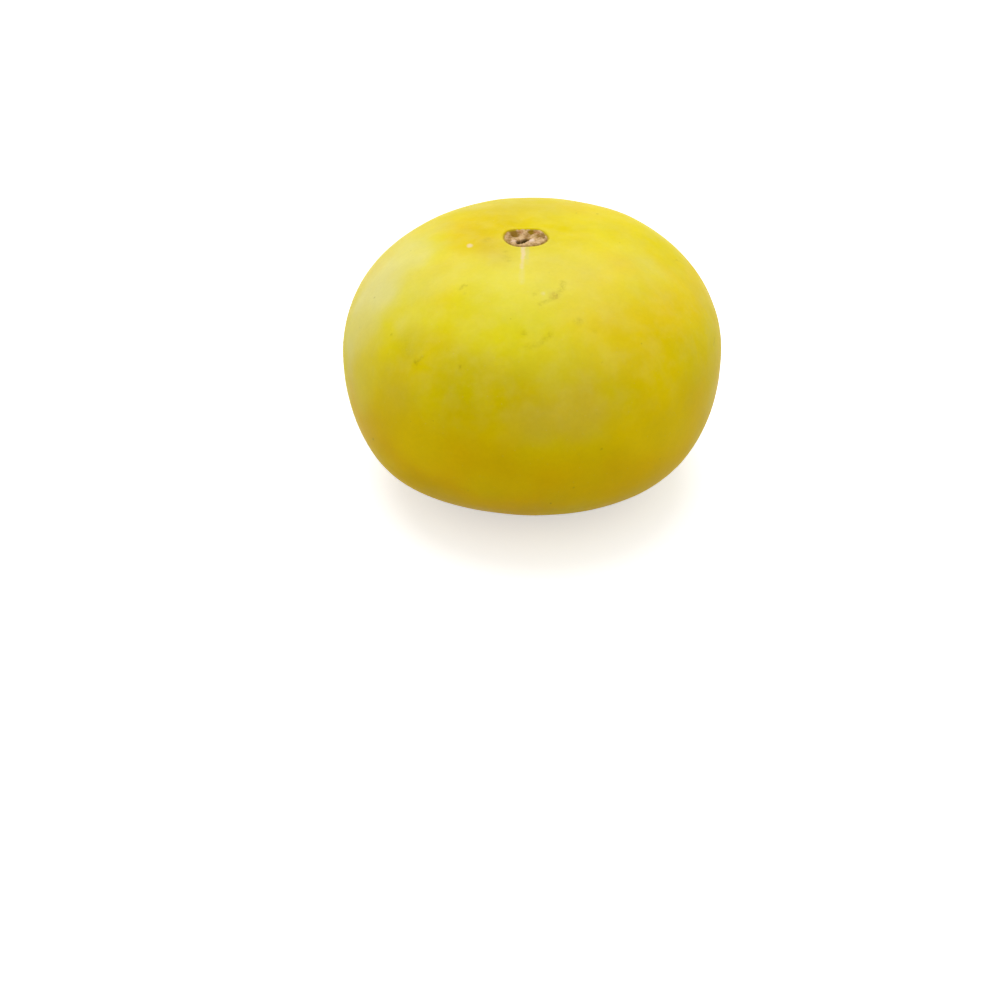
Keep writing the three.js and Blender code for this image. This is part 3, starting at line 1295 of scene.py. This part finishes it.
@dataclass
class Melon:
    """The whole fruit, as one piece. Patch edge is the size in mm of the noise that frays the patches."""

    name: str = "whole_melon"
    form: BodyForm = BodyForm()
    plan: RingPlan = RingPlan()
    relief: RindRelief = RindRelief()
    stem_scar: StemScar = StemScar()
    blossom_scar: BlossomScar = BlossomScar()
    bake_map: BakeMap = BakeMap()
    rind: RindFinish = RindFinish()
    cork: CorkFinish = CorkFinish()
    patches: tuple[TonePatch, ...] = PATCHES
    patch_edge: float = 24.0
    marks: tuple[Mark, ...] = MARKS
    outline: Outline | None = field(default=None, init=False)
    fit: Fit | None = field(default=None, init=False)

    def build(self) -> bpy.types.Object:
        """Makes the fruit's mesh in the place of the solid.

        Returns:
            The new object, with its vertex masks and its flat map.
        """
        rings = RindMesh(self.form, self.plan)
        site = rings.site
        self.outline = rings.outline
        self.fit = Fit.to_box(site.plain, *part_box("melon"))
        height, masks = self.sculpt(site)
        facing = self.outline.facing(site.down, site.around)
        points = self.fit.placed(site.plain + facing * height[:, None])
        mesh = bpy.data.meshes.new(self.name)
        mesh.from_pydata(points.tolist(), [], rings.faces)
        mesh.shade_smooth()
        for name, values in masks.items():
            mesh.attributes.new(name, "FLOAT", "POINT").data.foreach_set("value", values.astype(np.float32))
        self.lay_flat(mesh, rings)
        piece = bpy.data.objects.new(self.name, mesh)
        bpy.context.scene.collection.objects.link(piece)
        return piece

    def sculpt(self, site: Site) -> tuple[np.ndarray, dict[str, np.ndarray]]:
        """The whole relief of the fruit and every mask that its colours follow.

        Args:
            site: Where the vertices lie.

        Returns:
            The height above the plain body for each vertex in mm, and the masks by name.
        """
        foot_height = site.plain[:, 2] - site.plain[:, 2].min()
        middles = [self.site_of(swelling.place).plain[0] for swelling in self.relief.swellings]
        height = self.relief.height(site, foot_height, middles)
        scar_height, masks = self.stem_scar.shape(site)
        blossom_height, blossom_masks = self.blossom_scar.shape(site, self.outline.length)
        height += scar_height + blossom_height
        return height, masks | blossom_masks | self.tone_masks(site)

    def lay_flat(self, mesh: bpy.types.Mesh, rings: RindMesh) -> None:
        """Gives the mesh its flat map."""
        vertices = np.empty(len(mesh.loops), np.int32)
        mesh.loops.foreach_get("vertex_index", vertices)
        counts = np.empty(len(mesh.polygons), np.int32)
        mesh.polygons.foreach_get("loop_total", counts)
        laid = self.bake_map.corners(rings, vertices, np.repeat(np.arange(len(counts)), counts))
        layer = mesh.uv_layers.new(name=self.bake_map.name)
        layer.uv.foreach_set("vector", laid.astype(np.float32).ravel())

    def tone_masks(self, site: Site) -> dict[str, np.ndarray]:
        """How much of each broad tone lies at each vertex.

        Args:
            site: Where the vertices lie.

        Returns:
            A mask from 0 to 1 for each tone, by name.
        """
        clear = {tone: np.ones(len(site.down)) for tone in RindTone}
        stray = Noise.TONES.over(site.plain, self.patch_edge)
        for spot in self.patches:
            here = self.site_of(spot.place)
            facing = self.outline.facing(here.down, here.around)[0]
            clear[spot.tone] *= 1 - spot.strength * spot.share(site.plain - here.plain[0], facing, stray)
        return {tone.value: 1 - values for tone, values in clear.items()}

    def site_of(self, place: RindPlace) -> Site:
        """The site of one place on the rind."""
        return site_at(self.form, self.outline, np.array([place.down]), np.array([place.around]))

    def point_of(self, place: RindPlace) -> Vector:
        """A place on the rind as a point in the frame, in metres."""
        return Vector(self.fit.placed(self.site_of(place).plain)[0])

    def dress(self, piece: bpy.types.Object) -> None:
        """Gives the fruit its rind and cork.

        Args:
            piece: The object that build made.
        """
        material = bpy.data.materials.new("melon_rind")
        material.use_nodes = True
        bench = NodeBench(material.node_tree)
        where = bench.add("ShaderNodeTexCoord").outputs["Object"]
        rind = self.rind
        colour, roughness = self.marked(bench, where, self.rind_colour(bench, where))
        cork = bench.math("MAXIMUM", bench.mask("cork"), bench.mask("blossom"))
        colour = self.scarred(bench, where, cork, colour)
        roughness = bench.eased(cork, 0.0, 1.0, roughness, self.cork.roughness)
        shader = bench.add("ShaderNodeBsdfPrincipled")
        shader.inputs["Specular IOR Level"].default_value = rind.gloss
        shader.inputs["Specular Tint"].default_value = (*rind.gloss_tint, 1.0)
        shader.inputs["Subsurface Weight"].default_value = rind.glow
        shader.inputs["Subsurface Radius"].default_value = rind.glow_spread
        shader.inputs["Subsurface Scale"].default_value = rind.glow_depth * MM
        bench.feed(shader.inputs["Base Color"], colour)
        bench.feed(shader.inputs["Roughness"], roughness)
        bench.feed(shader.inputs["Normal"], self.bump(bench, where, cork))
        output = bench.add("ShaderNodeOutputMaterial")
        bench.feed(output.inputs["Surface"], shader.outputs[0])
        piece.data.materials.append(material)

    def rind_colour(self, bench: NodeBench, where: Socket) -> Socket:
        """The rind's colour before any small mark."""
        finish = self.rind
        tones = dict(finish.tones)
        height = bench.math("MULTIPLY", bench.split(where, 2), 1 / MM)
        # Yellower towards the crest, deeper orange gold lower down: partly the rind's own tone, partly
        # painted bounce light from below.
        crest = bench.eased(height, *finish.crest_heights)
        colour = bench.mix(crest, linear(finish.flank_gold_and_bounce), linear(finish.crest))
        lemon = bench.cloud(where, finish.lemon_cloud)
        colour = bench.mix(lemon, colour, linear(tones[RindTone.LEMON]))
        warm = bench.cloud(bench.vector("ADD", where, finish.warm_shift), finish.warm_cloud)
        colour = bench.mix(warm, colour, linear(tones[RindTone.WARM]))
        for tone, code in finish.tones:
            colour = bench.mix(bench.mask(tone.value), colour, linear(code))
        # Faint cream clouds towards the top of the rind: partly its own pale tone, partly painted sheen of
        # the overhead lamp.
        high = bench.eased(height, *finish.pale_cloud_and_sheen_heights)
        colour = bench.washed(colour, tones[RindTone.CREAM_AND_SHEEN], bench.cloud(where, finish.pale_cloud_and_sheen), high)
        mottle = bench.cloud(where, finish.mottle)
        fine_mottle = bench.cloud(where, finish.fine_mottle)
        return bench.scaled(colour, bench.math("MULTIPLY", mottle, fine_mottle))

    def marked(self, bench: NodeBench, where: Socket, colour: Socket) -> tuple[Socket, Socket]:
        """Adds freckles, pores and the marks that are listed one by one.

        Args:
            bench: The material's node bench.
            where: The places.
            colour: The rind's colour so far.

        Returns:
            The new colour, and the roughness of the rind and its marks.
        """
        finish = self.rind
        roughness = bench.cloud(where, finish.roughness)
        uneven = bench.wavered(where, finish.mark_waver)
        torn = bench.wavered(uneven, finish.mark_tear)
        clusters = bench.cloud(where, finish.freckle_clusters)
        clusters = bench.math("MULTIPLY", clusters, finish.freckles.strength)
        freckles = bench.specks(uneven, finish.freckles)
        colour = bench.washed(colour, finish.freckles.tone.code, freckles, clusters)
        for places, specks in ((uneven, finish.pricks), (where, finish.pores)):
            colour = bench.washed(colour, specks.tone.code, bench.specks(places, specks), specks.strength)
        broken_up = bench.noise(where, finish.mark_breaks)
        for tone in MarkTone:
            strongest: Value = 0.0
            for mark in (mark for mark in self.marks if mark.tone is tone):
                mask = self.mark_mask(bench, torn if tone.broken > finish.torn_from else uneven, mark)
                strongest = bench.math("MAXIMUM", mask, strongest)
            whole = bench.eased(broken_up, *finish.break_levels, 1 - tone.broken)
            whole = bench.math("MULTIPLY", whole, strongest)
            colour = bench.mix(whole, colour, linear(tone.code))
            roughness = bench.eased(whole, 0.0, 1.0, roughness, tone.roughness)
        return colour, roughness

    def mark_mask(self, bench: NodeBench, where: Socket, mark: Mark) -> Socket:
        """The mask of one mark, from 0 to its strength."""
        away = bench.away(where, self.point_of(mark.start), self.point_of(mark.end))
        radius, soft = mark.radius * MM, mark.soft * MM
        return bench.eased(away, radius + soft, max(radius - soft, 0.0), 0.0, mark.strength)

    def scarred(self, bench: NodeBench, where: Socket, cork: Socket, colour: Socket) -> Socket:
        """Lays the cork's colours over the rind's.

        Args:
            bench: The material's node bench.
            where: The places.
            cork: The mask of all cork.
            colour: The rind's colour.

        Returns:
            The new colour.
        """
        finish = self.cork
        colour = bench.washed(colour, finish.blossom_ring, bench.mask("blossom_ring"), finish.ring_strength)
        # The cork darkens where its relief is low and lightens where it is high: painted shade in the
        # cracks and painted light on the ridges, over the cork's own grain.
        texture = bench.math("MULTIPLY", bench.mask("cork_grain"), finish.texture_share)
        height = bench.math("ADD", texture, bench.noise(where, finish.grain))
        cork_with_crack_shade = bench.mix(bench.eased(height, *finish.levels), linear(finish.dark), linear(finish.light))
        colour = bench.mix(cork, colour, cork_with_crack_shade)
        colour = bench.washed(colour, finish.edge, bench.mask("cork_edge"), finish.edge_strength)
        for tone, code in finish.tones:
            colour = bench.mix(bench.mask(tone.value), colour, linear(code))
        return bench.washed(colour, finish.dark, bench.mask("blossom_eye"), finish.eye_strength)

    def bump(self, bench: NodeBench, where: Socket, cork: Socket) -> Socket:
        """The finest relief of the rind and cork, as a normal."""
        rind = self.rind
        pores = bench.relief(where, rind.pore_relief, rind.pore_height)
        peel = bench.relief(where, rind.peel_relief, rind.peel_height)
        grain = bench.relief(where, self.cork.relief, self.cork.relief_height)
        height = bench.eased(cork, 0.0, 1.0, bench.math("ADD", pores, peel), grain)
        node = bench.add("ShaderNodeBump")
        node.inputs["Distance"].default_value = 1.0
        bench.feed(node.inputs["Height"], height)
        return node.outputs[0]


@dataclass(frozen=True)
class Studio:
    """A white floor, a white surround, one broad soft lamp overhead and the camera.

    The camera's lens and sensor are in mm, its distance and clips in metres, and its angles and the
    lamp's spread in degrees. It looks at the girth, which is at a share of the fruit's height.
    """

    floor_half: float = 30.0
    floor_white: Triple = (0.93, 0.945, 0.97)
    floor_bounce: float = 0.48
    floor_lift: float = 0.5
    sky_strength: float = 0.66
    lamp_strength: float = 1.42
    lamp_spread: float = 55.0
    lamp_from: Triple = (-0.1, 0.38, 0.91)
    sensor: float = 36.0
    lens: float = 47.16
    nearest: float = 0.01
    farthest: float = 200.0
    distance: float = 0.5496
    elevation: float = 32.5
    aim_below: float = 6.49
    aim_left: float = 1.62
    girth_share: float = 0.493

    def plain_sight(self, bench: NodeBench) -> Socket:
        """1 for rays of the camera, a mirror or glass, and 0 for the light that falls on things."""
        path = bench.add("ShaderNodeLightPath")
        sight = bench.math("MAXIMUM", path.outputs["Is Camera Ray"], path.outputs["Is Glossy Ray"])
        return bench.math("MAXIMUM", sight, path.outputs["Is Transmission Ray"])

    def build_floor(self) -> bpy.types.Object:
        """Makes the floor, which keeps the fruit's shadow.

        Returns:
            The floor.
        """
        half = self.floor_half
        mesh = bpy.data.meshes.new("floor")
        corners = [(-half, -half, 0), (half, -half, 0), (half, half, 0), (-half, half, 0)]
        mesh.from_pydata(corners, [], [(0, 1, 2, 3)])
        material = bpy.data.materials.new("floor_white")
        material.use_nodes = True
        bench = NodeBench(material.node_tree)
        sight = self.plain_sight(bench)
        paint = bench.add("ShaderNodeBsdfDiffuse")
        white = bench.mix(sight, (self.floor_bounce,) * 3 + (1,), (*self.floor_white, 1))
        bench.feed(paint.inputs["Color"], white)
        lift = bench.add("ShaderNodeEmission")
        bench.feed(lift.inputs["Strength"], bench.math("MULTIPLY", sight, self.floor_lift))
        both = bench.add("ShaderNodeAddShader")
        bench.feed(both.inputs[0], paint.outputs[0])
        bench.feed(both.inputs[1], lift.outputs[0])
        output = bench.add("ShaderNodeOutputMaterial")
        bench.feed(output.inputs["Surface"], both.outputs[0])
        mesh.materials.append(material)
        floor = bpy.data.objects.new("floor", mesh)
        bpy.context.scene.collection.objects.link(floor)
        return floor

    def build_light(self) -> None:
        """Makes the white surround and the broad lamp."""
        world = bpy.data.worlds.new("surround")
        world.use_nodes = True
        bench = NodeBench(world.node_tree)
        surround = bench.add("ShaderNodeBackground")
        sight = self.plain_sight(bench)
        bench.feed(surround.inputs["Color"], (1.0, 1.0, 1.0, 1.0))
        bench.feed(surround.inputs["Strength"], bench.eased(sight, 0.0, 1.0, self.sky_strength, 1.0))
        output = bench.add("ShaderNodeOutputWorld")
        bench.feed(output.inputs["Surface"], surround.outputs[0])
        bpy.context.scene.world = world
        lamp = bpy.data.lights.new("overhead", "SUN")
        lamp.energy = self.lamp_strength
        lamp.angle = math.radians(self.lamp_spread)
        holder = bpy.data.objects.new("overhead", lamp)
        holder.rotation_euler = Vector(self.lamp_from).to_track_quat("Z", "Y").to_euler()
        bpy.context.scene.collection.objects.link(holder)

    def build_camera(self, low: Vector, high: Vector) -> None:
        """Places the camera in front of the fruit, looking down on it.

        Args:
            low: The lowest corner of the fruit's box.
            high: The highest corner.
        """
        girth = (low + high) / 2
        girth.z = low.z + (high.z - low.z) * self.girth_share
        elevation = math.radians(self.elevation)
        away = Vector((0.0, -math.cos(elevation), math.sin(elevation)))
        data = bpy.data.cameras.new("camera")
        data.sensor_width = self.sensor
        data.lens = self.lens
        data.clip_start = self.nearest
        data.clip_end = self.farthest
        camera = bpy.data.objects.new("camera", data)
        camera.location = girth + away * self.distance
        pitch = math.radians(90 - self.elevation - self.aim_below)
        camera.rotation_euler = (pitch, 0.0, math.radians(self.aim_left))
        bpy.context.scene.collection.objects.link(camera)
        bpy.context.scene.camera = camera

    def build(self) -> None:
        """Makes the whole stage round the solid's box."""
        self.build_floor()
        self.build_light()
        self.build_camera(*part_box("melon"))
        bpy.context.scene.view_settings.view_transform = "Standard"


def main() -> None:
    """Builds the stage and the fruit, and reports what was made."""
    logging.basicConfig(level=logging.INFO, format="%(name)s: %(message)s")
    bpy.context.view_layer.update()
    Studio().build()
    melon = Melon()
    piece = melon.build()
    melon.dress(piece)
    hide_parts("melon")
    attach(piece, "root")
    triangles = sum(len(face.vertices) - 2 for face in piece.data.polygons)
    LOG.info("%s: %d vertices, %d triangles", piece.name, len(piece.data.vertices), triangles)


if __name__ == "__main__":
    main()
